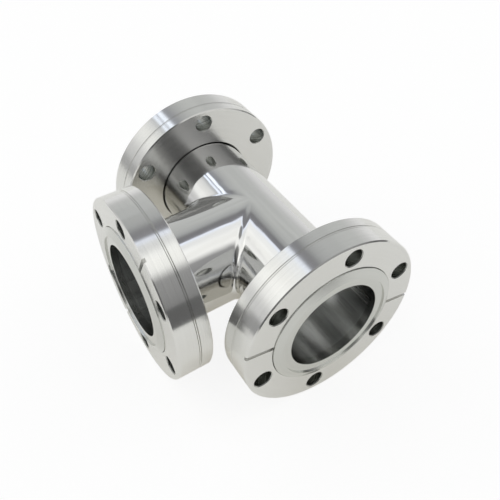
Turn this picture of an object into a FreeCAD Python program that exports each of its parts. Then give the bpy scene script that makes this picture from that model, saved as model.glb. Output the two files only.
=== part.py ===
import FreeCAD, Part
import math
import os
from FreeCAD import Vector

# Equal vacuum tee with three knife-edge ports, each with a loose bolt ring
# that turns on its knife ring and can be pushed a little along it.
# Millimetres, +Z up. The origin is where the axis of the run (along X)
# meets the axis of the branch (along Y, the branch port towards -Y).

# Tubes
tube_outer_diameter = 38.0
tube_wall = 1.5
centre_to_seal_plane = 52.0
crease_blend_radius = 2.0

# Knife ring: its wall is counted outwards from the tube, its depths inwards
# from the seal plane. They give the standard knife edge, 41.9 across.
knife_ring_wall = 5.05
knife_from_rim = 3.1
knife_depth = 0.65
knife_height = 0.5
knife_slope_angle = 20.0
knife_ring_length = 6.85
socket_length = 3.5
land_edge_break = 0.15
knife_ring_edge_break = 0.2

# Bolt ring: round the knife ring come the recess, a wall, the bolt holes and
# another wall. They give the standard recess, 48.3 across, the standard
# bolt circle, 58.7 across, and the standard outside, 69.4 across.
wall_inside_bolt_holes = 1.85
wall_outside_bolt_holes = 2.0
flange_thickness = 12.7
flange_edge_break = 0.4
recess_edge_break = 0.2
back_bore_edge_break = 0.3

# Bolt holes
bolt_hole_count = 6
bolt_hole_diameter = 6.7
bolt_hole_edge_break = 0.3

# Leak-check grooves across the face of the bolt ring
leak_groove_count = 2
leak_groove_width = 1.4
leak_groove_depth = 1.0

# Groove round the rim that marks a ring that turns
rim_groove_from_face = 7.9
rim_groove_width = 0.6
rim_groove_depth = 0.5

# Retaining wire
wire_diameter = 1.0
wire_from_knife = 3.95
wire_gap_angle = 14.0

# Fits
turning_clearance = 0.1
seat_clearance = 0.05
back_bore_clearance = 0.35
wire_clearance = 0.05
end_play = 2.1

# How far each bolt ring is turned: the angle of its first hole from the
# upright, seen from outside the port
first_hole_turn_right = -11.0
first_hole_turn_back = 3.0
first_hole_turn_branch = 61.0

# Sizes that follow from the ones above
tube_radius = tube_outer_diameter / 2
bore_radius = tube_radius - tube_wall
crease_share = crease_blend_radius / tube_radius
knife_ring_radius = tube_radius + knife_ring_wall
knife_radius = knife_ring_radius - knife_from_rim
recess_radius = knife_ring_radius + turning_clearance
bolt_hole_radius = bolt_hole_diameter / 2
bolt_circle_radius = recess_radius + wall_inside_bolt_holes + bolt_hole_radius
flange_radius = bolt_circle_radius + bolt_hole_radius + wall_outside_bolt_holes
slope_drop = (knife_ring_radius - knife_radius) * math.tan(math.radians(knife_slope_angle))
slope_foot_depth = knife_depth + slope_drop
land_depth = knife_depth + knife_height
knife_ring_back = knife_depth + knife_ring_length
socket_depth = knife_ring_back - socket_length
tube_end = centre_to_seal_plane - socket_depth
wire_radius = wire_diameter / 2
wire_depth = knife_depth + wire_from_knife
wire_groove_half = wire_radius + wire_clearance
back_bore_radius = tube_radius + back_bore_clearance
counterbore_depth = knife_ring_back + seat_clearance

# Each port: its name, its outward direction and the turn of its bolt ring
PORTS = (
    ("right", Vector(1, 0, 0), first_hole_turn_right),
    ("back", Vector(-1, 0, 0), first_hole_turn_back),
    ("branch", Vector(0, -1, 0), first_hole_turn_branch),
)

UP = Vector(0, 0, 1)


def place_at_port(shape, outward, face_distance):
    """Move a shape drawn with its face at z = 0 and its body below to a port, with its +Y side up."""
    sideways = UP.cross(outward)
    matrix = FreeCAD.Matrix(
        sideways.x, UP.x, outward.x, outward.x * face_distance,
        sideways.y, UP.y, outward.y, outward.y * face_distance,
        sideways.z, UP.z, outward.z, outward.z * face_distance,
        0, 0, 0, 1,
    )
    placed = shape.copy()
    placed.transformShape(matrix, False)
    return placed


def turned(profile):
    """Revolve a closed outline of (radius, depth below the face) about the port's axis."""
    points = [Vector(radius, 0, -depth) for radius, depth in profile]
    face = Part.Face(Part.makePolygon(points + points[:1]))
    return face.revolve(Vector(0, 0, 0), Vector(0, 0, 1), 360)


def branch_side(spread):
    """The space towards the branch between two upright planes that meet on the axes' crossing.

    Each plane runs outwards by spread for every unit that it runs towards the branch.
    """
    reach = tube_end + tube_radius
    corners = [
        Vector(0, 0, -reach),
        Vector(spread * reach, -reach, -reach),
        Vector(-spread * reach, -reach, -reach),
    ]
    face = Part.Face(Part.makePolygon(corners + corners[:1]))
    return face.extrude(Vector(0, 0, 2 * reach))


def run_rod(radius):
    """A bar along the run, as long as its tube."""
    return Part.makeCylinder(radius, 2 * tube_end, Vector(-tube_end, 0, 0), Vector(1, 0, 0))


def branch_rod(radius):
    """A bar along the branch from the crossing to the end of its tube."""
    return Part.makeCylinder(radius, tube_end, Vector(0, 0, 0), Vector(0, -1, 0))


def crease_blend(side):
    """Solid corner between run and branch at one side, hollowed to a quarter round.

    At the height of the axes the quarter round touches the branch at one end and
    the run at the other. Going up or down it shrinks towards the Z axis as the
    tubes' outline does, so every upright line across it is part of an ellipse and
    it fades out where the tubes' tops and bottoms meet.
    """
    root = math.sqrt(0.5)
    across = [
        (side, -1 - crease_share, 1.0),
        (side, -1.0, root),
        (side * (1 + crease_share), -1.0, 1.0),
    ]
    half_circle = [(0, -1, 1.0), (1, -1, root), (1, 0, 1.0), (1, 1, root), (0, 1, 1.0)]
    poles = []
    weights = []
    for x, y, across_weight in across:
        poles.append([Vector(x * out, y * out, up) * tube_radius for out, up, _ in half_circle])
        weights.append([across_weight * weight for _, _, weight in half_circle])
    surface = Part.BSplineSurface()
    surface.buildFromPolesMultsKnots(
        poles, [3, 3], [3, 2, 3], [0, 1], [0, 1, 2], False, False, 2, 2, weights
    )
    hollow = surface.toShape()
    z_line = Part.makeLine(Vector(0, 0, -tube_radius), Vector(0, 0, tube_radius))
    borders = [edge for edge in hollow.Edges if not edge.Degenerated]
    sides = [Part.Face(Part.Wire([edge, z_line])) for edge in borders]
    shell = Part.makeShell([hollow] + sides)
    shell.sewShape()
    return Part.makeSolid(shell)


def run_tube():
    """Tube from the right port to the back port, notched for the branch and its blends."""
    tube = run_rod(tube_radius).cut([run_rod(bore_radius), branch_side(1 + crease_share)])
    return tube.Solids[0]


def branch_tube():
    """Tube pointed to fit the run, with the blended crease at both sides of its mouth."""
    pointed = branch_rod(tube_radius).common(branch_side(1 / (1 + crease_share)))
    outside = pointed.fuse([crease_blend(1), crease_blend(-1)])
    tube = outside.cut([run_rod(bore_radius), branch_rod(bore_radius)])
    return tube.removeSplitter().Solids[0]


def knife_ring():
    """Weld ring: land round the bore, knife edge, slope, rim with the wire groove, socket for the tube."""
    groove_floor = knife_ring_radius - wire_radius - wire_clearance
    profile = [
        (bore_radius + land_edge_break, land_depth),
        (knife_radius, land_depth),
        (knife_radius, knife_depth),
        (knife_ring_radius, slope_foot_depth),
        (knife_ring_radius, wire_depth - wire_groove_half),
        (groove_floor, wire_depth - wire_groove_half),
        (groove_floor, wire_depth + wire_groove_half),
        (knife_ring_radius, wire_depth + wire_groove_half),
        (knife_ring_radius, knife_ring_back - knife_ring_edge_break),
        (knife_ring_radius - knife_ring_edge_break, knife_ring_back),
        (tube_radius, knife_ring_back),
        (tube_radius, socket_depth),
        (bore_radius, socket_depth),
        (bore_radius, land_depth + land_edge_break),
    ]
    return turned(profile)


def retaining_wire():
    """Round wire bent to an open ring, half in the knife ring's groove and half in the bolt ring's."""
    section = Part.makeCircle(wire_radius, Vector(knife_ring_radius, 0, -wire_depth), Vector(0, 1, 0))
    face = Part.Face(Part.Wire(section))
    ring = face.revolve(Vector(0, 0, 0), Vector(0, 0, 1), 360 - wire_gap_angle)
    ring.rotate(Vector(0, 0, 0), Vector(0, 0, 1), wire_gap_angle / 2 - 90)
    return ring


def bolt_ring_blank():
    """Turned blank of the bolt ring: stepped bore, wire groove, rim groove and broken edges."""
    groove_floor = knife_ring_radius + wire_radius + wire_clearance
    wire_groove_front = wire_depth - end_play - wire_groove_half
    wire_groove_back = wire_depth + wire_groove_half
    rim_floor = flange_radius - rim_groove_depth
    half_rim_groove = rim_groove_width / 2
    profile = [
        (recess_radius + recess_edge_break, 0),
        (flange_radius - flange_edge_break, 0),
        (flange_radius, flange_edge_break),
        (flange_radius, rim_groove_from_face - half_rim_groove),
        (rim_floor, rim_groove_from_face - half_rim_groove),
        (rim_floor, rim_groove_from_face + half_rim_groove),
        (flange_radius, rim_groove_from_face + half_rim_groove),
        (flange_radius, flange_thickness - flange_edge_break),
        (flange_radius - flange_edge_break, flange_thickness),
        (back_bore_radius + back_bore_edge_break, flange_thickness),
        (back_bore_radius, flange_thickness - back_bore_edge_break),
        (back_bore_radius, counterbore_depth),
        (recess_radius, counterbore_depth),
        (recess_radius, wire_groove_back),
        (groove_floor, wire_groove_back),
        (groove_floor, wire_groove_front),
        (recess_radius, wire_groove_front),
        (recess_radius, recess_edge_break),
    ]
    return turned(profile)


def bolt_hole_cutter():
    """One through hole with its edges broken at both faces, on the bolt circle at the top."""
    centre = Vector(0, bolt_circle_radius, 0)
    back_centre = centre - Vector(0, 0, flange_thickness)
    shaft = Part.makeCylinder(bolt_hole_radius, flange_thickness, back_centre)
    widest = bolt_hole_radius + bolt_hole_edge_break
    front_centre = centre - Vector(0, 0, bolt_hole_edge_break)
    front = Part.makeCone(bolt_hole_radius, widest, bolt_hole_edge_break, front_centre)
    back = Part.makeCone(widest, bolt_hole_radius, bolt_hole_edge_break, back_centre)
    return shaft.fuse([front, back])


def leak_groove_cutter():
    """One shallow radial slot from the recess out through the rim, square to the first hole."""
    length = 2 * (flange_radius - recess_radius)
    start = Vector(recess_radius - turning_clearance, -leak_groove_width / 2, -leak_groove_depth)
    return Part.makeBox(length, leak_groove_width, 2 * leak_groove_depth, start)


def bolt_ring(first_hole_turn):
    """Bolt ring with its holes and leak-check grooves, turned about its axis."""
    axis_point, axis = Vector(0, 0, 0), Vector(0, 0, 1)
    cutters = []
    for i in range(bolt_hole_count):
        hole = bolt_hole_cutter()
        hole.rotate(axis_point, axis, 360 * i / bolt_hole_count)
        cutters.append(hole)
    for i in range(leak_groove_count):
        groove = leak_groove_cutter()
        groove.rotate(axis_point, axis, 360 * i / leak_groove_count)
        cutters.append(groove)
    ring = bolt_ring_blank().cut(cutters).Solids[0]
    ring.rotate(axis_point, axis, first_hole_turn)
    return ring


def build():
    """Every node of the tee, by name."""
    nodes = {"run_tube": run_tube(), "branch_tube": branch_tube()}
    for name, outward, first_hole_turn in PORTS:
        resting_face = centre_to_seal_plane - end_play
        nodes["knife_ring_" + name] = place_at_port(knife_ring(), outward, centre_to_seal_plane)
        nodes["retaining_wire_" + name] = place_at_port(retaining_wire(), outward, centre_to_seal_plane)
        nodes["bolt_ring_" + name] = place_at_port(bolt_ring(first_hole_turn), outward, resting_face)
    return nodes


os.makedirs("parts", exist_ok=True)
for node, shape in build().items():
    shape.exportStep("parts/" + node + ".step")
    print(node, "valid" if shape.isValid() else "INVALID", round(shape.Volume, 1), "mm3")
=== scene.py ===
# %% [markdown]
# # A polished vacuum tee
#
# Three knife-edge ports on one mirror-polished tube, each port in a loose bolt ring. The solids come in
# as a fixed frame, in metres, with the crossing of the tubes' axes at the origin: the run lies along X,
# the branch points towards -Y and +Z is up. This lesson gives every solid its finish, and makes again,
# as smooth surfaces, the pieces whose reflections show every facet.

# %% Load the solids
import math
import bmesh
import bpy
import numpy as np
from mathutils import Matrix, Vector


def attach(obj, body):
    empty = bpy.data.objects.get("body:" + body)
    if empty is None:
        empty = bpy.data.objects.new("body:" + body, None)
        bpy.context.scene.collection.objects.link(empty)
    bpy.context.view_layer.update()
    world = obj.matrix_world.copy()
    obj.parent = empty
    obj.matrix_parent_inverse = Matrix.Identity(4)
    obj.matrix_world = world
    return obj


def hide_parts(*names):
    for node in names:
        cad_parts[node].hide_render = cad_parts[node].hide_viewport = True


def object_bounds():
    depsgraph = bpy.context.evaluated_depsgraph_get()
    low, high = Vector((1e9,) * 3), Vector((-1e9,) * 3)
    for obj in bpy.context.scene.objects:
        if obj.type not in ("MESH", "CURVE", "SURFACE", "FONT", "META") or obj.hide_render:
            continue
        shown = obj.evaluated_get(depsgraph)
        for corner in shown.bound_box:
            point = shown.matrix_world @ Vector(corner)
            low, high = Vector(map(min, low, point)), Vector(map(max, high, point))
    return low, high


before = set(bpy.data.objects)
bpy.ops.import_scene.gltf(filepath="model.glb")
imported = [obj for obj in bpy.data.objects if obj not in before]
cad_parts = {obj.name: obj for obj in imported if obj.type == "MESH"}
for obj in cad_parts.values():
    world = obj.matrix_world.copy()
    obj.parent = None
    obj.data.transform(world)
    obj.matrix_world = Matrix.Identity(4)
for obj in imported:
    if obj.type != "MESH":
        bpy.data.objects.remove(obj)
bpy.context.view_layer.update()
scene = bpy.context.scene
scene.view_settings.view_transform = "Standard"

# %% [markdown]
# ## Ports
#
# Sizes are in millimetres, as on a drawing. A mirror shows a surface that is off by a hundredth, so the new
# surfaces use the same numbers as the solids that they stand for. Each port is known by the direction in
# which it points, and its seal plane, where the gasket's middle will lie, is 52 mm from the axes' crossing.

# %% Units and ports
MM = 0.001
TUBE_RADIUS = 19.0
BORE_RADIUS = 17.5
SEAL_PLANE = 52.0
SOCKET_DEPTH = 4.0
TUBE_END = SEAL_PLANE - SOCKET_DEPTH
UP = Vector((0, 0, 1))
PORTS = {
    "right": Vector((1, 0, 0)),
    "back": Vector((-1, 0, 0)),
    "branch": Vector((0, -1, 0)),
}
print("ports", list(PORTS), "tube ends at", TUBE_END, "mm")

# %% [markdown]
# ## Surfaces from grids
#
# Every new piece is a grid of points that a formula places, with four-sided faces between neighbours.
# Numpy works out a whole grid at once. Grids that share a border are joined by merging the points that
# coincide, and edges sharper than 30 degrees stay crisp.

# %% Faces of a grid
def grid_faces(rows, columns, wrap=False):
    """Faces of a grid of points numbered row by row; wrap joins the last column to the first."""
    r = np.arange(rows - 1)[:, None]
    c = np.arange(columns if wrap else columns - 1)[None, :]
    after = (c + 1) % columns
    corners = [r * columns + c, r * columns + after, (r + 1) * columns + after, (r + 1) * columns + c]
    return np.stack(np.broadcast_arrays(*corners), axis=-1).reshape(-1, 4)


print("3 by 4 points:", len(grid_faces(3, 4)), "faces,", len(grid_faces(3, 4, wrap=True)), "when closed")

# %% A piece from several grids
MERGE_DISTANCE = 1e-7
SHARP_ANGLE = math.radians(30)


def close_and_smooth(mesh):
    """Merge coinciding points, drop faces without area, turn faces outwards, smooth what isn't sharp."""
    work = bmesh.new()
    work.from_mesh(mesh)
    bmesh.ops.remove_doubles(work, verts=work.verts, dist=MERGE_DISTANCE)
    bmesh.ops.dissolve_degenerate(work, edges=work.edges, dist=MERGE_DISTANCE)
    bmesh.ops.recalc_face_normals(work, faces=work.faces)
    work.to_mesh(mesh)
    work.free()
    mesh.shade_smooth()
    mesh.set_sharp_from_angle(angle=SHARP_ANGLE)


def make_piece(name, grids, body, replaced):
    """One object from several grids: each is points (rows, columns, 3) in millimetres, whether its last
    column joins its first, and the number of its finish."""
    points = []
    faces = []
    finishes = []
    count = 0
    for grid, wrap, finish in grids:
        points.append(grid.reshape(-1, 3) * MM)
        faces.append(grid_faces(grid.shape[0], grid.shape[1], wrap) + count)
        finishes.append(np.full(len(faces[-1]), finish))
        count += grid.shape[0] * grid.shape[1]
    mesh = bpy.data.meshes.new(name)
    mesh.from_pydata(np.concatenate(points).tolist(), [], np.concatenate(faces).tolist())
    mesh.polygons.foreach_set("material_index", np.concatenate(finishes))
    close_and_smooth(mesh)
    piece = bpy.data.objects.new(name, mesh)
    scene.collection.objects.link(piece)
    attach(piece, body)
    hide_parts(*replaced)
    print(name, len(mesh.vertices), "points", len(mesh.polygons), "faces")
    return piece


# %% [markdown]
# ## The polished tube
#
# The tee's body is a 38 mm tube with a branch of the same size welded in, and the weld is ground and
# polished until only a soft crease is left. The outside is five surfaces that touch without a kink: the
# two ends of the run, the branch, and a small quarter-round blend in each crease. The same formula with
# a smaller radius and no blend gives the bore. A Boolean of two cylinders would be quicker, but its long
# triangles make a mirror look dented.

# %% How far the crease is ground back
CREASE_BLEND = 3.0
CREASE_FADE = 0.35
ROUND_STEPS = 192
round_angles = np.linspace(-math.pi / 2, 3 * math.pi / 2, 2 * ROUND_STEPS + 1)


def ground_back(blend, t):
    """Radius of the blend at tube angle t, nothing at the top and bottom:
    blend cos t / sqrt(cos^2 t + fade^2)."""
    c = np.cos(t)
    return blend * c / np.sqrt(c ** 2 + CREASE_FADE ** 2)


print("crease blend", round(float(ground_back(CREASE_BLEND, 0.0)), 2), "mm at its widest")

# %% The tube's surfaces
LENGTH_STEPS = 24
BLEND_STEPS = 12


def run_side(radius, blend, side):
    """Half of the run, x from the crease or the middle to the end: (x, -radius cos t, radius sin t)."""
    t = round_angles[None, :]
    start = np.maximum(radius * np.cos(t) + ground_back(blend, t), 0.0)
    along = np.linspace(0.0, 1.0, LENGTH_STEPS)[:, None]
    x = side * (start + along * (TUBE_END - start))
    y = -radius * np.cos(t) + 0 * along
    z = radius * np.sin(t) + 0 * along
    return np.stack([x, y, z], axis=-1)


def branch_side(radius, blend):
    """The branch: points (radius cos t, y, radius sin t), y from the crease to the end."""
    t = round_angles[None, :]
    start = np.abs(radius * np.cos(t) + ground_back(blend, t))
    along = np.linspace(0.0, 1.0, LENGTH_STEPS)[:, None]
    y = -(start + along * (TUBE_END - start))
    x = radius * np.cos(t) + 0 * along
    z = radius * np.sin(t) + 0 * along
    return np.stack([x, y, z], axis=-1)


def crease_blend(radius, blend, side):
    """Quarter round of radius b in the corner at each height, where the tube is 2 w = 2 radius cos t wide:
    x = w + b - b cos a, y = -w - b + b sin a, z = radius sin t."""
    t = np.linspace(-math.pi / 2, math.pi / 2, ROUND_STEPS + 1)[None, :]
    a = np.linspace(0.0, math.pi / 2, BLEND_STEPS + 1)[:, None]
    half_width = radius * np.cos(t)
    b = ground_back(blend, t)
    x = side * (half_width + b - b * np.cos(a))
    y = -(half_width + b - b * np.sin(a))
    z = radius * np.sin(t) + 0 * a
    return np.stack([x, y, z], axis=-1)


outside = [run_side(TUBE_RADIUS, CREASE_BLEND, side) for side in (1, -1)]
outside += [crease_blend(TUBE_RADIUS, CREASE_BLEND, side) for side in (1, -1)]
outside += [branch_side(TUBE_RADIUS, CREASE_BLEND)]
inside = [run_side(BORE_RADIUS, 0.0, side) for side in (1, -1)] + [branch_side(BORE_RADIUS, 0.0)]
print(len(outside), "surfaces outside,", len(inside), "in the bore")

# %% The tube with its cut ends
WALL_POINTS = 3
POLISHED, PICKLED = 0, 1


def cut_end(place):
    """Flat ring between bore and outside: place takes (radius cos t, radius sin t) to points in the cut."""
    t = round_angles[None, :]
    radius = np.linspace(BORE_RADIUS, TUBE_RADIUS, WALL_POINTS)[:, None]
    return place(radius * np.cos(t), radius * np.sin(t))


inside += [
    cut_end(lambda c, s: np.stack([0 * c + TUBE_END, -c, s], axis=-1)),
    cut_end(lambda c, s: np.stack([0 * c - TUBE_END, -c, s], axis=-1)),
    cut_end(lambda c, s: np.stack([c, 0 * c - TUBE_END, s], axis=-1)),
]
grids = [(surface, False, POLISHED) for surface in outside]
grids += [(surface, False, PICKLED) for surface in inside]
tube = make_piece("polished_tube", grids, "body", ["run_tube", "branch_tube"])

# %% [markdown]
# ## The knife rings
#
# Each weld ring is turned on a lathe, so it is a profile carried once round the port's axis. The profile
# is drawn from the land by the bore, up the knife edge, down the 20 degree slope, over the rim with its
# wire groove and back to the tube. Small arcs at its corners are the broken edges that catch the light.
# A Bevel modifier could round them, but it would round every corner alike, and the knife edge is sharper.

# %% Rounding the corners of a profile
SUPPORT = 0.03


def rounded(profile, breaks, steps=4):
    """Replace each corner by (1-s)^2 start + 2 s (1-s) corner + s^2 stop, where start and stop lie its own
    distance before and after it. A further point just outside each curve keeps the flats flat."""
    corners = np.asarray(profile, float)
    s = np.linspace(0.0, 1.0, steps + 1)[:, None]
    rows = [corners[:1]]
    for before, corner, after, reach in zip(corners[:-2], corners[1:-1], corners[2:], breaks):
        if reach == 0:
            rows.append(corner[None])
            continue
        back = (before - corner) / np.linalg.norm(before - corner)
        on = (after - corner) / np.linalg.norm(after - corner)
        start = corner + reach * back
        stop = corner + reach * on
        curve = (1 - s) ** 2 * start + 2 * s * (1 - s) * corner + s ** 2 * stop
        rows += [corner[None] + (reach + SUPPORT) * back, curve, corner[None] + (reach + SUPPORT) * on]
    return np.concatenate(rows + [corners[-1:]])


print("a right angle becomes", len(rounded([(0, 0), (1, 0), (1, 1)], [0.1])), "points")

# %% The knife ring's profile: radius, and depth below the seal plane
KNIFE_RADIUS = 20.95
KNIFE_DEPTH = 0.65
KNIFE_SLOPE = math.radians(20)
LAND_DEPTH = 1.15
RING_RADIUS = 24.05
RING_BACK = 7.5
SLOPE_FOOT = KNIFE_DEPTH + (RING_RADIUS - KNIFE_RADIUS) * math.tan(KNIFE_SLOPE)
WIRE_DEPTH = 4.6
WIRE_GROOVE_HALF = 0.55
WIRE_GROOVE_FLOOR = RING_RADIUS - WIRE_GROOVE_HALF
BORE_BREAK = 0.15
KNIFE_FOOT_ROUND = 0.06
KNIFE_TIP_ROUND = 0.02
SLOPE_FOOT_ROUND = 0.05
knife_front = rounded(
    [
        (BORE_RADIUS, SOCKET_DEPTH), (BORE_RADIUS, LAND_DEPTH), (KNIFE_RADIUS, LAND_DEPTH),
        (KNIFE_RADIUS, KNIFE_DEPTH), (RING_RADIUS, SLOPE_FOOT), (RING_RADIUS, WIRE_DEPTH - WIRE_GROOVE_HALF),
    ],
    [BORE_BREAK, KNIFE_FOOT_ROUND, KNIFE_TIP_ROUND, SLOPE_FOOT_ROUND],
)
knife_back = np.array([
    (RING_RADIUS, WIRE_DEPTH - WIRE_GROOVE_HALF), (WIRE_GROOVE_FLOOR, WIRE_DEPTH - WIRE_GROOVE_HALF),
    (WIRE_GROOVE_FLOOR, WIRE_DEPTH + WIRE_GROOVE_HALF), (RING_RADIUS, WIRE_DEPTH + WIRE_GROOVE_HALF),
    (RING_RADIUS, RING_BACK), (TUBE_RADIUS, RING_BACK),
    (TUBE_RADIUS, SOCKET_DEPTH), (BORE_RADIUS, SOCKET_DEPTH),
])
print("the slope ends", round(SLOPE_FOOT, 3), "mm below the seal plane")

# %% Three knife rings
RING_STEPS = 256


def around_port(profile, outward):
    """Revolve (radius, depth) about the port's axis:
    outward (seal plane - depth) + radius (side cos a + up sin a)."""
    a = np.linspace(0.0, 2 * math.pi, RING_STEPS, endpoint=False)[None, :, None]
    side = np.array(UP.cross(outward))
    radius = profile[:, 0][:, None, None]
    depth = profile[:, 1][:, None, None]
    return np.array(outward) * (SEAL_PLANE - depth) + radius * (side * np.cos(a) + np.array(UP) * np.sin(a))


knife_rings = {}
for port, outward in PORTS.items():
    name = "knife_ring_" + port
    grids = [(around_port(profile, outward), True, 0) for profile in (knife_front, knife_back)]
    knife_rings[port] = make_piece("turned_" + name, grids, "body", [name])

# %% [markdown]
# ## The bolt rings
#
# The loose ring is a turned blank with six drilled holes and two leak-check grooves milled across its
# face. A Boolean would drill it in one step but leaves long thin triangles, which spoil fine turning
# marks. So each hole gets its own sixth of the ring: a grid runs from the hole's edge out to the borders
# of that sixth, the hole's wall goes on from it through the metal, and the turned profile closes the
# inside and the rim. Where a leak groove runs along a border, the sixth ends at the groove's wall instead.

# %% Bolt ring sizes in millimetres, depths below the ring's own face
LOOSE_FACE = 49.9
BOLT_RING_RADIUS = 34.7
BOLT_RING_THICKNESS = 12.7
RIM_BREAK = 0.4
RECESS_RADIUS = 24.15
RECESS_BREAK = 0.2
BACK_BORE_RADIUS = 19.35
BACK_BORE_BREAK = 0.3
BOLT_HOLES = 6
BOLT_CIRCLE_RADIUS = 29.35
BOLT_HOLE_RADIUS = 3.35
BOLT_HOLE_BREAK = 0.3
LEAK_GROOVE_HALF = 0.7
LEAK_GROOVE_DEPTH = 1.0
FIRST_HOLE = {"right": math.radians(79), "back": math.radians(93), "branch": math.radians(151)}
recess_edge = RECESS_RADIUS + RECESS_BREAK
rim_edge = BOLT_RING_RADIUS - RIM_BREAK
back_edge = BACK_BORE_RADIUS + BACK_BORE_BREAK
hole_edge = BOLT_HOLE_RADIUS + BOLT_HOLE_BREAK
print("ring face", round(SEAL_PLANE - LOOSE_FACE, 2), "mm behind the seal plane")

# %% The border of a sixth
HALF_SIXTH = math.pi / BOLT_HOLES
ARC_POINTS = 41
SIDE_POINTS = 17


def sixth_angles(groove_share, notches):
    """Angles across one sixth, less the angle of half a groove at each side that has a leak groove."""
    start = -HALF_SIXTH + notches[0] * groove_share
    stop = HALF_SIXTH - notches[1] * groove_share
    return np.linspace(start, stop, ARC_POINTS, axis=-1)


def groove_angle(radius):
    """The angle that half a leak groove takes up at a radius: asin(half width / radius)."""
    return np.arcsin(LEAK_GROOVE_HALF / radius)


def sixth_border(inner, outer, notches):
    """The closed border of one sixth as plane points: inner arc, one side, outer arc, other side."""
    radii = np.linspace(inner, outer, SIDE_POINTS)[1:-1]
    radius = np.concatenate([np.full(ARC_POINTS, inner), radii, np.full(ARC_POINTS, outer), radii[::-1]])
    angle = np.concatenate([
        sixth_angles(groove_angle(inner), notches),
        HALF_SIXTH - notches[1] * groove_angle(radii),
        sixth_angles(groove_angle(outer), notches)[::-1],
        (-HALF_SIXTH + notches[0] * groove_angle(radii))[::-1],
    ])
    return np.stack([radius * np.cos(angle), radius * np.sin(angle)], axis=-1)


print("border of", len(sixth_border(recess_edge, rim_edge, (0, 0))), "points")

# %% The face round a hole and the hole's wall
FACE_ROWS = np.array([0.0, 0.006, 0.06, 0.2, 0.4, 0.6, 0.8, 0.94, 0.994, 1.0])
HOLE_CENTRE = np.array([BOLT_CIRCLE_RADIUS, 0.0])


def with_depth(plane, depth):
    """Plane points and their depth below the ring's face, as one array."""
    return np.concatenate([plane, np.broadcast_to(depth, plane.shape[:-1])[..., None]], axis=-1)


def hole_face(border, around, depth):
    """Grid between a hole's edge and its sixth's border: (1-s) hole edge + s border, denser towards both."""
    s = FACE_ROWS[:, None, None]
    return with_depth((1 - s) * (HOLE_CENTRE + hole_edge * around) + s * border, depth)


def hole_wall(around, profile):
    """The wall of a hole: its profile (radius, depth) carried round the hole's own axis."""
    plane = HOLE_CENTRE + profile[:, 0][:, None, None] * around
    return with_depth(plane, profile[:, 1][:, None])


print("metal left outside a hole", round(rim_edge - BOLT_CIRCLE_RADIUS - hole_edge, 2), "mm")

# %% [markdown]
# ### The ring's profiles
#
# Three profiles are carried round: the stepped inside with the groove that catches the wire, the rim, and
# the wall of a hole. Their edges are broken at 45 degrees, as a turning tool leaves them. The rim has a
# shallow groove all round, with a fine cut at each side that shows as a thin dark line.

# %% Inside, rim and hole: radius and depth
BREAK_POINTS = 3
NOTCH_END = 1.5
CATCH_GROOVE_RADIUS = 24.6
CATCH_GROOVE_START = 1.95
CATCH_GROOVE_STOP = 5.15
COUNTERBORE_DEPTH = 7.55


def edge_break(start, stop):
    """A straight 45 degree break from start to stop."""
    return np.linspace(start, stop, BREAK_POINTS)


def profile_of(*parts):
    """One profile from points and rows of points."""
    return np.concatenate([np.atleast_2d(np.asarray(part, float)) for part in parts])


INSIDE = profile_of(
    edge_break((recess_edge, 0.0), (RECESS_RADIUS, RECESS_BREAK)),
    (RECESS_RADIUS, RECESS_BREAK + SUPPORT),
    (RECESS_RADIUS, LEAK_GROOVE_DEPTH),
    (RECESS_RADIUS, NOTCH_END),
    (RECESS_RADIUS, CATCH_GROOVE_START),
    (CATCH_GROOVE_RADIUS, CATCH_GROOVE_START),
    (CATCH_GROOVE_RADIUS, CATCH_GROOVE_STOP),
    (RECESS_RADIUS, CATCH_GROOVE_STOP),
    (RECESS_RADIUS, COUNTERBORE_DEPTH),
    (BACK_BORE_RADIUS, COUNTERBORE_DEPTH),
    (BACK_BORE_RADIUS, BOLT_RING_THICKNESS - BACK_BORE_BREAK - SUPPORT),
    edge_break((BACK_BORE_RADIUS, BOLT_RING_THICKNESS - BACK_BORE_BREAK), (back_edge, BOLT_RING_THICKNESS)),
)
HOLE = profile_of(
    edge_break((hole_edge, 0.0), (BOLT_HOLE_RADIUS, BOLT_HOLE_BREAK)),
    (BOLT_HOLE_RADIUS, BOLT_HOLE_BREAK + SUPPORT),
    (BOLT_HOLE_RADIUS, BOLT_RING_THICKNESS / 2),
    (BOLT_HOLE_RADIUS, BOLT_RING_THICKNESS - BOLT_HOLE_BREAK - SUPPORT),
    edge_break((BOLT_HOLE_RADIUS, BOLT_RING_THICKNESS - BOLT_HOLE_BREAK), (hole_edge, BOLT_RING_THICKNESS)),
)
print("inside", len(INSIDE), "hole", len(HOLE), "points")

# %% The rim with its groove
RIM_GROOVE_DEPTH = 7.9
RIM_GROOVE_HALF = 0.45
RIM_GROOVE_FLOOR = BOLT_RING_RADIUS - 0.08
FINE_CUT_FLOOR = BOLT_RING_RADIUS - 0.5
FINE_CUT_HALF = 0.12
BESIDE_GROOVE = 0.1
CUT_ROUND = 0.03
PLAIN_RIM_FROM = 4.0
PLAIN_RIM_TO = 10.0
groove_start = RIM_GROOVE_DEPTH - RIM_GROOVE_HALF
groove_stop = RIM_GROOVE_DEPTH + RIM_GROOVE_HALF
rim_groove = [
    (BOLT_RING_RADIUS, PLAIN_RIM_FROM),
    (BOLT_RING_RADIUS, groove_start - BESIDE_GROOVE),
    (BOLT_RING_RADIUS, groove_start),
    (FINE_CUT_FLOOR, groove_start + FINE_CUT_HALF),
    (RIM_GROOVE_FLOOR, groove_start + 2 * FINE_CUT_HALF),
    (RIM_GROOVE_FLOOR, groove_stop - 2 * FINE_CUT_HALF),
    (FINE_CUT_FLOOR, groove_stop - FINE_CUT_HALF),
    (BOLT_RING_RADIUS, groove_stop),
    (BOLT_RING_RADIUS, groove_stop + BESIDE_GROOVE),
    (BOLT_RING_RADIUS, PLAIN_RIM_TO),
]
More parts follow.
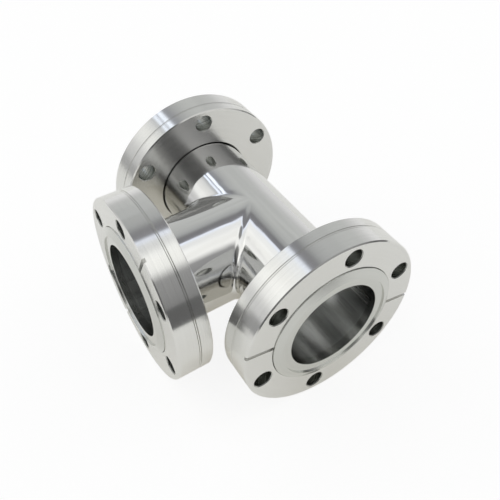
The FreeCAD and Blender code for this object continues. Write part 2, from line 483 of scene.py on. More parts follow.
RIM = profile_of(
    edge_break((rim_edge, 0.0), (BOLT_RING_RADIUS, RIM_BREAK)),
    (BOLT_RING_RADIUS, RIM_BREAK + SUPPORT),
    (BOLT_RING_RADIUS, LEAK_GROOVE_DEPTH),
    (BOLT_RING_RADIUS, NOTCH_END),
    rounded(rim_groove, [0, *[CUT_ROUND] * (len(rim_groove) - 4), 0], steps=2),
    (BOLT_RING_RADIUS, BOLT_RING_THICKNESS - RIM_BREAK - SUPPORT),
    edge_break((BOLT_RING_RADIUS, BOLT_RING_THICKNESS - RIM_BREAK), (rim_edge, BOLT_RING_THICKNESS)),
)
print("rim", len(RIM), "points, groove", round(groove_stop - groove_start, 2), "mm wide")

# %% All surfaces of a sixth
FACED, TURNED_RIM, DRILLED = 0, 1, 2


def turned_sixth(profile, notches):
    """A profile carried across one sixth; down to the leak groove's floor it stops at the groove."""
    radius, depth = profile.T
    at = sixth_angles(groove_angle(radius) * (depth <= LEAK_GROOVE_DEPTH), notches)
    radius = radius[:, None]
    return with_depth(np.stack([radius * np.cos(at), radius * np.sin(at)], axis=-1), depth[:, None])


def sixth(notches):
    """All grids of one sixth, in the plane of its hole: X through the hole's centre, then Y, then depth."""
    front = sixth_border(recess_edge, rim_edge, notches)
    back = sixth_border(back_edge, rim_edge, (0, 0))
    toward = front - HOLE_CENTRE
    around = toward / np.linalg.norm(toward, axis=-1)[:, None]
    return [
        (hole_face(front, around, 0.0), True, FACED),
        (hole_face(back, around, BOLT_RING_THICKNESS), True, FACED),
        (hole_wall(around, HOLE), True, DRILLED),
        (turned_sixth(INSIDE, notches), False, FACED),
        (turned_sixth(RIM, notches), False, TURNED_RIM),
    ]


print("a sixth has", len(sixth((0, 0))), "grids")

# %% [markdown]
# ### The leak grooves
#
# Two narrow grooves run straight across the ring's face, so that the gas of a leak test reaches the gasket
# when the flanges are closed. A milling cutter leaves them with a flat floor and upright walls, so they
# are a floor and two walls between the sixths.

# %% One leak groove
def groove_points(radius, offset, depth):
    """Points of a leak groove, offset sideways from its centre line:
    (sqrt(radius^2 - offset^2), offset, depth)."""
    return np.stack(np.broadcast_arrays(np.sqrt(radius ** 2 - offset ** 2), offset, depth), axis=-1)


def leak_groove():
    """Floor and walls of one leak groove, and the slivers that close the turned profile below it."""
    inner = INSIDE[:BREAK_POINTS][::-1]
    outer = RIM[:BREAK_POINTS]
    between = np.linspace(recess_edge, rim_edge, SIDE_POINTS)[1:-1]
    radius = np.concatenate([inner[:, 0], between, outer[:, 0]])
    top = np.concatenate([inner[:, 1], 0 * between, outer[:, 1]])
    offsets = np.array([-LEAK_GROOVE_HALF, 0.0, LEAK_GROOVE_HALF])
    grids = [(groove_points(radius[:, None], offsets[None, :], LEAK_GROOVE_DEPTH), False, FACED)]
    for offset in offsets[[0, 2]]:
        rows = np.stack([top, top + SUPPORT, np.full(top.shape, LEAK_GROOVE_DEPTH)])
        grids.append((groove_points(radius[None, :], offset, rows), False, FACED))
    for wall_radius, finish in ((RECESS_RADIUS, FACED), (BOLT_RING_RADIUS, TURNED_RIM)):
        upper = groove_points(wall_radius, offsets, LEAK_GROOVE_DEPTH)
        lower = groove_points(wall_radius, 0 * offsets, NOTCH_END)
        grids.append((np.stack([upper, lower]), False, finish))
    return grids


print("a leak groove has", len(leak_groove()), "grids")

# %% Three bolt rings
LEAK_GROOVES = (1.5, 4.5)  # halfway between holes 1 and 2 and between holes 4 and 5, counted from 0


def at_port(grids, outward, angle):
    """Turn grids about the port's axis and set them below the loose ring's face:
    (face - depth) outward + x radial + y across, with radial = side cos angle + up sin angle."""
    side = np.array(UP.cross(outward))
    up = np.array(UP)
    radial = side * math.cos(angle) + up * math.sin(angle)
    across = -side * math.sin(angle) + up * math.cos(angle)
    turn = np.stack([radial, across, -np.array(outward)])
    face = LOOSE_FACE * np.array(outward)
    return [(grid @ turn + face, wrap, finish) for grid, wrap, finish in grids]


bolt_rings = {}
for port, outward in PORTS.items():
    grids = []
    for hole in range(BOLT_HOLES):
        notches = (int(hole - 0.5 in LEAK_GROOVES), int(hole + 0.5 in LEAK_GROOVES))
        grids += at_port(sixth(notches), outward, FIRST_HOLE[port] + 2 * HALF_SIXTH * hole)
    for groove in LEAK_GROOVES:
        grids += at_port(leak_groove(), outward, FIRST_HOLE[port] + 2 * HALF_SIXTH * groove)
    name = "bolt_ring_" + port
    bolt_rings[port] = make_piece("machined_" + name, grids, "ring_" + port, [name])

# %% [markdown]
# ## Finishes
#
# Everything here is bare stainless steel, so every finish has one recipe: metallic 1, a pale grey a touch
# warmer than silver, and the default IOR. What tells the surfaces apart is how each was made. Buffing
# leaves long soft waves, a lathe leaves fine rings that smear a reflection across them, and a drill leaves
# coarse ribs. So roughness, bump and their direction carry the look, and not the colour, except the darker
# grey of the drilled holes, which is painted shade for their insides.

# %% Node and colour helpers
SMOOTH = {"interpolation_type": "SMOOTHSTEP"}
NOISE_LOW = 0.3
NOISE_HIGH = 0.7


def linear(hex_colour):
    """sRGB hex to the linear numbers that shaders use."""
    levels = [int(hex_colour[i:i + 2], 16) / 255 for i in (1, 3, 5)]
    return [v / 12.92 if v <= 0.04045 else ((v + 0.055) / 1.055) ** 2.4 for v in levels] + [1.0]


def add_node(tree, kind, settings=None, inputs=None, links=None):
    """Add one node: settings are its properties, inputs its socket values, links its incoming sockets."""
    node = tree.nodes.new(kind)
    for key, value in (settings or {}).items():
        setattr(node, key, value)
    for key, value in (inputs or {}).items():
        node.inputs[key].default_value = value
    for key, socket in (links or {}).items():
        tree.links.new(socket, node.inputs[key])
    return node


print("mid grey is", round(linear("#808080")[0], 3), "in linear light")

# %% Bare metal, and putting finishes on a piece
def metal(name, colour, roughness, anisotropic=0.0):
    """A bare metal: returns its material, tree and main shader."""
    material = bpy.data.materials.new(name)
    material.use_nodes = True
    tree = material.node_tree
    shader = tree.nodes["Principled BSDF"]
    shader.inputs["Base Color"].default_value = linear(colour)
    shader.inputs["Metallic"].default_value = 1.0
    shader.inputs["Roughness"].default_value = roughness
    shader.inputs["Anisotropic"].default_value = anisotropic
    return material, tree, shader


def dress(piece, materials):
    """Give a piece its finishes in the order of their numbers, keeping each face's number."""
    for number, material in enumerate(materials):
        if number < len(piece.data.materials):
            piece.data.materials[number] = material
        else:
            piece.data.materials.append(material)
    print(piece.name, [material.name for material in materials])


# %% [markdown]
# ### The polished outside
#
# The tube is drawn, welded, ground and buffed on a felt wheel until it is almost a mirror. The eye reads it
# by the studio that it shows, slightly bent by waves a few millimetres long, which are strongest beside the
# ground weld. A picture of a studio on the tube would stay put when the view moves. Noise on Object
# coordinates makes the waves, and the distance from the weld's two planes, | |x| + y |, fades them.

# %% Distance past the weld's planes
def past_weld(tree, place):
    """|x| + y in metres: positive in the run, negative in the branch and zero in the weld's planes."""
    at = add_node(tree, "ShaderNodeSeparateXYZ", links={"Vector": place.outputs["Object"]})
    beside = add_node(tree, "ShaderNodeMath", {"operation": "ABSOLUTE"}, links={0: at.outputs["X"]})
    past = add_node(
        tree, "ShaderNodeMath", {"operation": "ADD"}, links={0: beside.outputs[0], 1: at.outputs["Y"]},
    )
    return at, past


# %% Mirror-polished stainless
POLISHED_COLOUR = "#e8e8e7"
WAVE_LENGTH = 6.0
WAVE_HEIGHT = 0.12
WAVE_SHARE_FAR = 0.16
WELD_NEAR = 2.5
WELD_FAR = 11.0
HAZE_LENGTH = 9.0
HAZE_LOW = 0.35
POLISH_BEST = 0.05
POLISH_WORST = 0.12


def mirror_polished():
    """Buffed stainless tube: a near mirror with soft waves beside the weld and a faint uneven haze."""
    material, tree, shader = metal("mirror_polished_stainless", POLISHED_COLOUR, POLISH_BEST)
    place = add_node(tree, "ShaderNodeTexCoord")
    past = past_weld(tree, place)[1]
    off = add_node(tree, "ShaderNodeMath", {"operation": "ABSOLUTE"}, links={0: past.outputs[0]})
    weld = add_node(
        tree, "ShaderNodeMapRange", SMOOTH,
        {"From Min": WELD_NEAR * MM, "From Max": WELD_FAR * MM, "To Min": 1.0, "To Max": WAVE_SHARE_FAR},
        {"Value": off.outputs[0]},
    )
    waves = add_node(
        tree, "ShaderNodeTexNoise", inputs={"Scale": 1 / (WAVE_LENGTH * MM), "Detail": 1.0},
        links={"Vector": place.outputs["Object"]},
    )
    swell = add_node(
        tree, "ShaderNodeMath", {"operation": "MULTIPLY"},
        links={0: waves.outputs["Fac"], 1: weld.outputs["Result"]},
    )
    bump = add_node(
        tree, "ShaderNodeBump", inputs={"Strength": 1.0, "Distance": WAVE_HEIGHT * MM},
        links={"Height": swell.outputs[0]},
    )
    tree.links.new(bump.outputs["Normal"], shader.inputs["Normal"])
    haze = add_node(
        tree, "ShaderNodeTexNoise", inputs={"Scale": 1 / (HAZE_LENGTH * MM), "Detail": 3.0},
        links={"Vector": place.outputs["Object"]},
    )
    dull = add_node(
        tree, "ShaderNodeMapRange", SMOOTH,
        {"From Min": HAZE_LOW, "From Max": NOISE_HIGH, "To Min": POLISH_BEST, "To Max": POLISH_WORST},
        {"Value": haze.outputs["Fac"]},
    )
    tree.links.new(dull.outputs["Result"], shader.inputs["Roughness"])
    return material


outside_finish = mirror_polished()
print(outside_finish.name, len(outside_finish.node_tree.nodes), "nodes")

# %% [markdown]
# ### The bore
#
# Nobody polishes the inside of the tube. It keeps the pale, dull skin of a drawn and pickled tube, with
# marks that run along it. The marks are noise that changes only round the tube, so it reads (y, z) in the
# run and (x, z) in the branch. Real die marks are a few hundredths apart. Here they are 0.8 mm apart, the
# finest that the picture can show.

# %% Pickled stainless bore
PICKLED_COLOUR = "#dcdddc"
DRAW_MARK = 0.8
DRAW_MARK_DEPTH = 0.003
BORE_ROUGHNESS = 0.22
STREAK_LOW = 0.8 * BORE_ROUGHNESS
STREAK_HIGH = 1.25 * BORE_ROUGHNESS


def pickled_bore():
    """Drawn and pickled stainless: a soft sheen in streaks along each tube."""
    material, tree, shader = metal("pickled_stainless_bore", PICKLED_COLOUR, BORE_ROUGHNESS)
    place = add_node(tree, "ShaderNodeTexCoord")
    at, past = past_weld(tree, place)
    in_run = add_node(tree, "ShaderNodeMath", {"operation": "GREATER_THAN"}, {1: 0.0}, {0: past.outputs[0]})
    round_tube = add_node(
        tree, "ShaderNodeMix", {"data_type": "FLOAT"},
        links={"Factor": in_run.outputs[0], "A": at.outputs["X"], "B": at.outputs["Y"]},
    )
    section = add_node(
        tree, "ShaderNodeCombineXYZ", links={"X": round_tube.outputs["Result"], "Y": at.outputs["Z"]},
    )
    marks = add_node(
        tree, "ShaderNodeTexNoise", inputs={"Scale": 1 / (DRAW_MARK * MM), "Detail": 3.0},
        links={"Vector": section.outputs["Vector"]},
    )
    streaks = add_node(
        tree, "ShaderNodeMapRange",
        inputs={"From Min": NOISE_LOW, "From Max": NOISE_HIGH, "To Min": STREAK_LOW, "To Max": STREAK_HIGH},
        links={"Value": marks.outputs["Fac"]},
    )
    tree.links.new(streaks.outputs["Result"], shader.inputs["Roughness"])
    bump = add_node(
        tree, "ShaderNodeBump", inputs={"Strength": 1.0, "Distance": DRAW_MARK_DEPTH * MM},
        links={"Height": marks.outputs["Fac"]},
    )
    tree.links.new(bump.outputs["Normal"], shader.inputs["Normal"])
    return material


dress(tube, [outside_finish, pickled_bore()])

# %% [markdown]
# ### Turned and drilled surfaces
#
# The rings are turned on a lathe. Each cut leaves a fine ring round the port's axis, so a reflection smears
# across the rings and stays crisp along them: that is anisotropy, with its tangent round the axis. A radial
# tangent from the Tangent node does it without a UV map. The rings themselves are noise read along the
# radius and the axis together, which works on faces, rims and cones alike. Real feed marks are 0.05 to
# 0.1 mm apart, too fine to show, so they are drawn at 0.3 to 0.35 mm. The drilled holes get the same noise
# deeper, as ribs 0.8 mm apart, and a darker grey that is painted shade for the inside of the holes. Bolt
# rings have a satin face and a rim with crisper bands, and the welded knife ring has the finest cut, because
# the seal sits there.

# %% Rings round an axis
LAY_ROUND_AXIS = 0.25
AXIS_TO_Z = {"X": (0, math.radians(90), 0), "Y": (math.radians(90), 0, 0)}


def rings_round(tree, axis, pitch):
    """Noise of (radius + height) / pitch and the direction round the axis: fine rings that slowly vary."""
    place = add_node(tree, "ShaderNodeTexCoord")
    local = add_node(
        tree, "ShaderNodeMapping", {"vector_type": "POINT"}, {"Rotation": AXIS_TO_Z[axis]},
        {"Vector": place.outputs["Object"]},
    )
    split = add_node(tree, "ShaderNodeSeparateXYZ", links={"Vector": local.outputs["Vector"]})
    flat = add_node(tree, "ShaderNodeCombineXYZ", links={"X": split.outputs["X"], "Y": split.outputs["Y"]})
    radius = add_node(
        tree, "ShaderNodeVectorMath", {"operation": "LENGTH"}, links={0: flat.outputs["Vector"]},
    )
    direction = add_node(
        tree, "ShaderNodeVectorMath", {"operation": "NORMALIZE"}, links={0: flat.outputs["Vector"]},
    )
    across = add_node(
        tree, "ShaderNodeMath", {"operation": "ADD"},
        links={0: radius.outputs["Value"], 1: split.outputs["Z"]},
    )
    scaled = add_node(
        tree, "ShaderNodeMath", {"operation": "MULTIPLY"}, {1: 1 / (pitch * MM)},
        {0: across.outputs["Value"]},
    )
    parts = add_node(tree, "ShaderNodeSeparateXYZ", links={"Vector": direction.outputs["Vector"]})
    lines = add_node(
        tree, "ShaderNodeCombineXYZ",
        links={"X": scaled.outputs["Value"], "Y": parts.outputs["X"], "Z": parts.outputs["Y"]},
    )
    return add_node(
        tree, "ShaderNodeTexNoise", inputs={"Scale": 1.0, "Detail": 2.0},
        links={"Vector": lines.outputs["Vector"]},
    )


# %% Turned stainless
ROUGHNESS_SWING = 0.1


def turned(name, axis, colour, roughness, anisotropic, pitch, depth, contrast):
    """Lathe-turned stainless: rings in its bump, brightness and roughness, smeared across the rings."""
    material, tree, shader = metal(name + "_stainless_" + axis, colour, roughness, anisotropic)
    shader.inputs["Anisotropic Rotation"].default_value = LAY_ROUND_AXIS
    lay = add_node(tree, "ShaderNodeTangent", {"direction_type": "RADIAL", "axis": axis})
    tree.links.new(lay.outputs["Tangent"], shader.inputs["Tangent"])
    noise = rings_round(tree, axis, pitch)
    bump = add_node(
        tree, "ShaderNodeBump", inputs={"Strength": 1.0, "Distance": depth * MM},
        links={"Height": noise.outputs["Fac"]},
    )
    tree.links.new(bump.outputs["Normal"], shader.inputs["Normal"])
    bright = add_node(
        tree, "ShaderNodeMapRange",
        inputs={"From Min": NOISE_LOW, "From Max": NOISE_HIGH, "To Min": 1 - 2 * contrast, "To Max": 1.0},
        links={"Value": noise.outputs["Fac"]},
    )
    tone = add_node(
        tree, "ShaderNodeVectorMath", {"operation": "SCALE"}, {0: linear(colour)[:3]},
        {"Scale": bright.outputs["Result"]},
    )
    tree.links.new(tone.outputs["Vector"], shader.inputs["Base Color"])
    roughest = (1 + ROUGHNESS_SWING) * roughness
    smoothest = (1 - ROUGHNESS_SWING) * roughness
    rough = add_node(
        tree, "ShaderNodeMapRange",
        inputs={"From Min": NOISE_LOW, "From Max": NOISE_HIGH, "To Min": roughest, "To Max": smoothest},
        links={"Value": noise.outputs["Fac"]},
    )
    tree.links.new(rough.outputs["Result"], shader.inputs["Roughness"])
    return material


# %% Finishes for both axes: pitch and depth of the marks in millimetres
TURNED = {
    "satin_faced": {
        "colour": "#e9e9e7", "roughness": 0.24, "anisotropic": 0.5,
        "pitch": 0.35, "depth": 0.002, "contrast": 0.012,
    },
    "turned_rim": {
        "colour": "#ececea", "roughness": 0.18, "anisotropic": 0.85,
        "pitch": 0.3, "depth": 0.003, "contrast": 0.025,
    },
    "fine_turned": {
        "colour": "#d8d9d6", "roughness": 0.15, "anisotropic": 0.6,
        "pitch": 0.35, "depth": 0.002, "contrast": 0.02,
    },
    # The drilled grey is darker than the other steels: it is painted shade for the inside of the bolt holes.
    "drilled": {
        "colour": "#c3c5c1", "roughness": 0.28, "anisotropic": 0.0,
        "pitch": 0.8, "depth": 0.09, "contrast": 0.15,
    },
    "drawn_wire": {
        "colour": "#b4b4b6", "roughness": 0.3, "anisotropic": 0.0,
        "pitch": 0.5, "depth": 0.002, "contrast": 0.03,
    },
}
finish = {(name, axis): turned(name, axis, **values) for name, values in TURNED.items() for axis in "XY"}
print(len(finish), "turned and drilled finishes")

# %% Finishes on the rings and wires
for port in PORTS:
    axis = "Y" if port == "branch" else "X"
    dress(knife_rings[port], [finish["fine_turned", axis]])
    dress(bolt_rings[port], [finish[name, axis] for name in ("satin_faced", "turned_rim", "drilled")])
    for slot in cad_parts["retaining_wire_" + port].material_slots:
        slot.link = "OBJECT"
        slot.material = finish["drawn_wire", axis]

# %% [markdown]
# ## The table
#
# The part lies on white paper. Metal has hardly any colour of its own, so what the paper looks like in a
# reflection matters as much as how it looks itself. A Light Path node tells the rays apart: the camera sees
# paper that melts into the white background and keeps the soft shadow, and the metal sees paper a little
# lighter than its shadow would leave it, and warmer there, because light that gets under the part has
# bounced between paper and steel. The sheet ends close in front and at the right, where the knife rings'
# slopes mirror the dark room beyond its edge.

# %% White paper
PAPER_COLOUR = "#e4e8ee"
FAINT_PAPER_COLOUR = "#7c7c7c"
PAPER_GLOW = 0.86
BOUNCE_COLOUR = "#fff5dc"
BOUNCE_GLOW = 0.28


def white_paper():
    """Matt white paper: a glow hides it from the camera, and a weaker one is the light under the part."""
    material = bpy.data.materials.new("white_paper_sweep")
    material.use_nodes = True
    tree = material.node_tree
    tree.nodes.clear()
    path = add_node(tree, "ShaderNodeLightPath")
    paper = add_node(tree, "ShaderNodeBsdfDiffuse", inputs={"Color": linear(PAPER_COLOUR)})
    faint = add_node(tree, "ShaderNodeBsdfDiffuse", inputs={"Color": linear(FAINT_PAPER_COLOUR)})
    glow = add_node(tree, "ShaderNodeEmission", inputs={"Strength": PAPER_GLOW})
    shown = add_node(
        tree, "ShaderNodeAddShader", links={0: faint.outputs["BSDF"], 1: glow.outputs["Emission"]},
    )
    bounce = add_node(
        tree, "ShaderNodeEmission", inputs={"Color": linear(BOUNCE_COLOUR), "Strength": BOUNCE_GLOW},
    )
    mirrored = add_node(
        tree, "ShaderNodeAddShader", links={0: paper.outputs["BSDF"], 1: bounce.outputs["Emission"]},
    )
    metal_sees = add_node(
        tree, "ShaderNodeMixShader",
        links={0: path.outputs["Is Glossy Ray"], 1: paper.outputs["BSDF"], 2: mirrored.outputs["Shader"]},
    )
    mix = add_node(
        tree, "ShaderNodeMixShader",
        links={0: path.outputs["Is Camera Ray"], 1: metal_sees.outputs["Shader"], 2: shown.outputs["Shader"]},
    )
    add_node(tree, "ShaderNodeOutputMaterial", links={"Surface": mix.outputs["Shader"]})
    return material


# %% The sheet of paper
EDGE_RIGHT = 0.26
EDGE_FRONT = -0.23
EDGE_FAR = 0.80
table_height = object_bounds()[0][2]
corners = ((-EDGE_FAR, EDGE_FRONT), (EDGE_RIGHT, EDGE_FRONT), (EDGE_RIGHT, EDGE_FAR), (-EDGE_FAR, EDGE_FAR))
floor_mesh = bpy.data.meshes.new("floor")
floor_mesh.from_pydata([(x, y, table_height) for x, y in corners], [], [(0, 1, 2, 3)])
floor_mesh.materials.append(white_paper())
floor = bpy.data.objects.new("floor", floor_mesh)
scene.collection.objects.link(floor)
print("table at", round(table_height, 4))

# %% [markdown]
# ## The studio
#
# A polished tube is only as good as the room that it mirrors. The room here is the world's colour, worked
# out from the direction in which a ray leaves. Overhead hangs a wide soft panel. A direction meets the
# ceiling at (x / z, y / z), and in those numbers the panel ends at straight dark bars, its frame, which draw
# the crisp dark line along the tube. The walls grow lighter towards the horizon, one side is dark, and the
# tent is open in front. Lamps would need several objects for the same, and would show in other views.

# %% Where a direction meets the ceiling
CEILING_LOWEST = 0.05
world = bpy.data.worlds.new("studio")
scene.world = world
world.use_nodes = True
tree = world.node_tree
tree.nodes.clear()
place = add_node(tree, "ShaderNodeTexCoord")
toward = add_node(tree, "ShaderNodeSeparateXYZ", links={0: place.outputs["Generated"]})
above = add_node(
    tree, "ShaderNodeMath", {"operation": "MAXIMUM"}, {1: CEILING_LOWEST}, {0: toward.outputs["Z"]},
)
ceiling_x, ceiling_y = (
    add_node(
        tree, "ShaderNodeMath", {"operation": "DIVIDE"},
        links={0: toward.outputs[axis], 1: above.outputs[0]},
    )
    for axis in "XY"
)
print("ceiling down to", round(math.degrees(math.asin(CEILING_LOWEST)), 1), "degrees above the horizon")

# %% Distance from the panel's frame
FRAME_AT_X = -0.20
FRAME_AT_Y = -0.05
STRETCH_PAST_X = 0.35
STRETCH_PAST_Y = 0.5
past_x = add_node(
    tree, "ShaderNodeMath", {"operation": "SUBTRACT"}, {1: FRAME_AT_X}, {0: ceiling_x.outputs[0]},
)
past_y = add_node(
    tree, "ShaderNodeMath", {"operation": "SUBTRACT"}, {0: FRAME_AT_Y}, {1: ceiling_y.outputs[0]},
)
soft = []  # outside the panel a distance counts for less, so the colours change more slowly there
for past, stretch in ((past_x, STRETCH_PAST_X), (past_y, STRETCH_PAST_Y)):
    slower = add_node(tree, "ShaderNodeMath", {"operation": "MULTIPLY"}, {1: stretch}, {0: past.outputs[0]})
    soft.append(add_node(
        tree, "ShaderNodeMath", {"operation": "MAXIMUM"}, links={0: past.outputs[0], 1: slower.outputs[0]},
    ))
past_frame = add_node(
    tree, "ShaderNodeMath", {"operation": "MAXIMUM"}, links={0: soft[0].outputs[0], 1: soft[1].outputs[0]},
)
print("the frame's corner is at", (FRAME_AT_X, FRAME_AT_Y), "on the ceiling")

# %% [markdown]
# ### The panel's colours
#
# A colour ramp turns the distance past the frame into light: the dim ceiling lies below zero, the dark frame
# at zero, and the bright panel above it. The panel's far end has stripes of its own, two bluish tubes of
# light side by side, which draw the double streak by the back port.

# %% Colours of the panel and of its striped far end
FRAME_SPAN = 2.0
PANEL_COLOURS = [
    (-0.50, (0.57, 0.58, 0.57)), (-0.22, (0.53, 0.54, 0.53)), (-0.11, (0.42, 0.43, 0.43)),
    (-0.05, (0.23, 0.23, 0.24)), (0.04, (0.24, 0.24, 0.26)), (0.09, (0.95, 1.00, 1.12)),
    (0.14, (0.90, 0.94, 1.02)), (0.20, (0.92, 0.93, 0.93)), (0.60, (1.08, 1.08, 1.05)),
    (0.85, (1.20, 1.20, 1.17)),
]
FAR_END_COLOURS = [
    (-0.50, (0.57, 0.58, 0.57)), (-0.22, (0.50, 0.51, 0.51)), (-0.08, (0.36, 0.37, 0.39)),
    (0.05, (0.30, 0.31, 0.34)), (0.08, (1.20, 1.28, 1.42)), (0.18, (1.20, 1.28, 1.42)),
    (0.20, (0.36, 0.38, 0.44)), (0.23, (0.36, 0.38, 0.44)), (0.25, (1.10, 1.18, 1.32)),
    (0.32, (1.10, 1.18, 1.32)), (0.35, (0.50, 0.51, 0.53)), (0.50, (0.78, 0.79, 0.79)),
    (0.75, (0.95, 0.95, 0.93)), (1.00, (1.05, 1.05, 1.03)),
]
ramps = []
for past, colours in ((past_frame, PANEL_COLOURS), (past_y, FAR_END_COLOURS)):
    share = add_node(
        tree, "ShaderNodeMapRange", inputs={"From Min": -FRAME_SPAN / 2, "From Max": FRAME_SPAN / 2},
        links={"Value": past.outputs[0]},
    )
    ramp = add_node(tree, "ShaderNodeValToRGB", links={"Fac": share.outputs["Result"]})
    stops = ramp.color_ramp.elements
    stops.remove(stops[1])
    for number, (distance, colour) in enumerate(colours):
        at = 0.5 + distance / FRAME_SPAN
        stop = stops[0] if number == 0 else stops.new(at)
        stop.position = at
        stop.color = (*colour, 1.0)
    ramps.append(ramp)
print("panel", len(PANEL_COLOURS), "far end", len(FAR_END_COLOURS), "colour stops")

# %% The far end put into the panel
FAR_END_STARTS = -0.86
FAR_END_WHOLE = -0.92
far_end = add_node(
    tree, "ShaderNodeMapRange", SMOOTH, {"From Min": FAR_END_STARTS, "From Max": FAR_END_WHOLE},
    {"Value": ceiling_x.outputs[0]},
)
panel = add_node(
    tree, "ShaderNodeMix", {"data_type": "VECTOR"},
    links={0: far_end.outputs["Result"], 4: ramps[0].outputs["Color"], 5: ramps[1].outputs["Color"]},
)
print("far end from x", FAR_END_STARTS)

# %% The boom that holds the panel
BOOM_AT = (0.07, -0.02, 0.0)
BOOM_INNER = 0.14
BOOM_OUTER = 0.22
BOOM_LEVEL = 0.30
flat = add_node(tree, "ShaderNodeCombineXYZ", links={"X": ceiling_x.outputs[0], "Y": ceiling_y.outputs[0]})
from_boom = add_node(
    tree, "ShaderNodeVectorMath", {"operation": "DISTANCE"}, {1: BOOM_AT}, {0: flat.outputs["Vector"]},
)
boom = add_node(
    tree, "ShaderNodeMapRange", SMOOTH,
    {"From Min": BOOM_INNER, "From Max": BOOM_OUTER, "To Min": BOOM_LEVEL, "To Max": 1.0},
    {"Value": from_boom.outputs["Value"]},
)
overhead = add_node(
    tree, "ShaderNodeVectorMath", {"operation": "SCALE"},
    links={0: panel.outputs[1], "Scale": boom.outputs["Result"]},
)
print("boom", 2 * BOOM_OUTER, "wide on the ceiling")

# %% [markdown]
# ### Walls
#
# The rims of the bolt rings mirror the walls, each rim another strip of them. The walls fade upwards from
# the horizon, at z = 0, and next to the table one far corner is lit and the rest is darker.

# %% Walls that fade upwards
WALL_FADES_TO = 0.35
WALL_AT_HORIZON = 0.80
WALL_ABOVE = 0.58
wall = add_node(
    tree, "ShaderNodeMapRange", SMOOTH,
    {"From Min": 0.0, "From Max": WALL_FADES_TO, "To Min": WALL_AT_HORIZON, "To Max": WALL_ABOVE},
    {"Value": toward.outputs["Z"]},
)
print("walls from", WALL_AT_HORIZON, "to", WALL_ABOVE)

# %% The lit corner next to the table
LIGHT_CORNER = (-0.85, 0.53, 0.0)
CORNER_STARTS = 0.3
CORNER_WHOLE = 0.65
LOW_WALL = 0.36
LOW_WALL_IN_CORNER = 0.80
LOW_WALL_TOP = 0.16
to_corner = add_node(
    tree, "ShaderNodeVectorMath", {"operation": "DOT_PRODUCT"}, {1: LIGHT_CORNER},
    {0: place.outputs["Generated"]},
)
low_wall = add_node(
    tree, "ShaderNodeMapRange", SMOOTH,
    {"From Min": CORNER_STARTS, "From Max": CORNER_WHOLE, "To Min": LOW_WALL, "To Max": LOW_WALL_IN_CORNER},
    {"Value": to_corner.outputs["Value"]},
)
above_table = add_node(
    tree, "ShaderNodeMapRange", SMOOTH, {"From Min": 0.0, "From Max": LOW_WALL_TOP},
    {"Value": toward.outputs["Z"]},
)
walls = add_node(
    tree, "ShaderNodeMix", {"data_type": "FLOAT"},
    links={
        "Factor": above_table.outputs["Result"], "A": low_wall.outputs["Result"], "B": wall.outputs["Result"],
    },
)
print("low walls", LOW_WALL, "and", LOW_WALL_IN_CORNER, "in the lit corner")

# %% Walls and ceiling together
CEILING_STARTS = 0.15
CEILING_WHOLE = 0.5
high = add_node(
    tree, "ShaderNodeMapRange", SMOOTH, {"From Min": CEILING_STARTS, "From Max": CEILING_WHOLE},
    {"Value": toward.outputs["Z"]},
)
room = add_node(
    tree, "ShaderNodeMix", {"data_type": "VECTOR"},
    links={0: high.outputs["Result"], 4: walls.outputs["Result"], 5: overhead.outputs["Vector"]},
)
print("ceiling from z", CEILING_STARTS, "to", CEILING_WHOLE)

# %% Uneven light
PATCH_SCALE = 3.5
PATCH_DARK = 0.90
PATCH_LIGHT = 1.10
patches = add_node(
    tree, "ShaderNodeTexNoise", inputs={"Scale": PATCH_SCALE, "Detail": 2.0},
    links={"Vector": place.outputs["Generated"]},
)
uneven = add_node(
    tree, "ShaderNodeMapRange",
    inputs={"From Min": NOISE_LOW, "From Max": NOISE_HIGH, "To Min": PATCH_DARK, "To Max": PATCH_LIGHT},
    links={"Value": patches.outputs["Fac"]},
)
varied = add_node(
    tree, "ShaderNodeVectorMath", {"operation": "SCALE"},
    links={0: room.outputs[1], "Scale": uneven.outputs["Result"]},
)
print("patches from", PATCH_DARK, "to", PATCH_LIGHT)

# %% [markdown]
# ### The dark side and the open front
#
# Polished metal needs something dark to mirror, or it looks like plastic. To the right the room has a dark
# wall, darker still below a shelf, and in front the tent is open to the dark room behind the camera.

# %% The dark side
SIDE_STARTS = 0.50
SIDE_WHOLE = 1.00
DARK_FROM = 0.28
DARK_TO = 0.75
DARK_LOW = 0.26
DARK_HIGH = 0.36
SHELF_UNDER = 0.20
SHELF_TOP = 0.25
BELOW_SHELF = 0.50
side = add_node(
    tree, "ShaderNodeMapRange", SMOOTH, {"From Min": SIDE_STARTS, "From Max": SIDE_WHOLE},
    {"Value": ceiling_x.outputs[0]},
)
dark_wall = add_node(
    tree, "ShaderNodeMapRange",
    inputs={"From Min": DARK_FROM, "From Max": DARK_TO, "To Min": DARK_LOW, "To Max": DARK_HIGH},
    links={"Value": toward.outputs["Z"]},
)
shelf = add_node(
    tree, "ShaderNodeMapRange", SMOOTH,
    {"From Min": SHELF_UNDER, "From Max": SHELF_TOP, "To Min": BELOW_SHELF, "To Max": 1.0},
    {"Value": toward.outputs["Z"]},
)
dark_side = add_node(
    tree, "ShaderNodeMath", {"operation": "MULTIPLY"},
    links={0: dark_wall.outputs["Result"], 1: shelf.outputs["Result"]},
)
shaded = add_node(
    tree, "ShaderNodeMix", {"data_type": "VECTOR"},
    links={0: side.outputs["Result"], 4: varied.outputs["Vector"], 5: dark_side.outputs[0]},
)
print("dark side from", BELOW_SHELF * DARK_LOW, "to", DARK_HIGH)

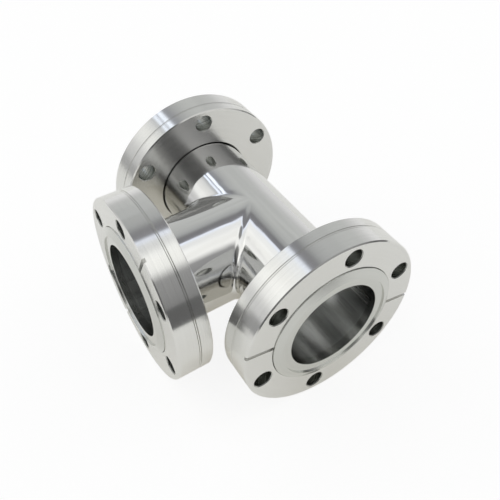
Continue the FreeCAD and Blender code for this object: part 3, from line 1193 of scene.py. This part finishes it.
# %% The open front
OPEN_FRONT = (0.597, -0.372, 0.711)
FRONT_STARTS = 0.90
FRONT_WHOLE = 0.96
FRONT_LEVEL = 0.20
to_front = add_node(
    tree, "ShaderNodeVectorMath", {"operation": "DOT_PRODUCT"}, {1: OPEN_FRONT},
    {0: place.outputs["Generated"]},
)
open_front = add_node(
    tree, "ShaderNodeMapRange", SMOOTH,
    {"From Min": FRONT_STARTS, "From Max": FRONT_WHOLE, "To Min": 1.0, "To Max": FRONT_LEVEL},
    {"Value": to_front.outputs["Value"]},
)
studio = add_node(
    tree, "ShaderNodeVectorMath", {"operation": "SCALE"},
    links={0: shaded.outputs[1], "Scale": open_front.outputs["Result"]},
)
print("the opening is", round(2 * math.degrees(math.acos(FRONT_STARTS))), "degrees wide")

# %% White background for the camera, studio for everything else
seen = add_node(tree, "ShaderNodeBackground", inputs={"Color": (1, 1, 1, 1), "Strength": 1.0})
light = add_node(
    tree, "ShaderNodeBackground", inputs={"Strength": 1.0}, links={"Color": studio.outputs["Vector"]},
)
path = add_node(tree, "ShaderNodeLightPath")
mix = add_node(
    tree, "ShaderNodeMixShader",
    links={0: path.outputs["Is Camera Ray"], 1: light.outputs["Background"], 2: seen.outputs["Background"]},
)
add_node(tree, "ShaderNodeOutputWorld", links={"Surface": mix.outputs["Shader"]})
print("studio nodes", len(tree.nodes))

# %% [markdown]
# ## The camera
#
# The photograph was taken from above the front right, close enough for clear perspective: the right ring
# looks larger than the back one. The place, aim, roll and lens were worked out from the ellipses of the
# ports and their bolt holes. The small vertical shift only frames the part as the photograph does.

# %% Camera
CAMERA_PLACE = Vector((0.1434, -0.0894, 0.1710))
CAMERA_AIM = Vector((-0.0080, 0.0041, 0.0099))
CAMERA_ROLL = math.radians(-0.98)
SENSOR_WIDTH = 36.0
LENS = 44.95
SHIFT_Y = -0.1
camera_data = bpy.data.cameras.new("camera")
camera_data.sensor_width = SENSOR_WIDTH
camera_data.lens = LENS
camera_data.shift_y = SHIFT_Y
camera = bpy.data.objects.new("camera", camera_data)
scene.collection.objects.link(camera)
look = (CAMERA_AIM - CAMERA_PLACE).to_track_quat("-Z", "Y").to_matrix()
turned_look = look @ Matrix.Rotation(CAMERA_ROLL, 3, "Z")
camera.matrix_world = Matrix.Translation(CAMERA_PLACE) @ turned_look.to_4x4()
scene.camera = camera
print("camera", round((CAMERA_AIM - CAMERA_PLACE).length, 3), "metres from what it looks at")
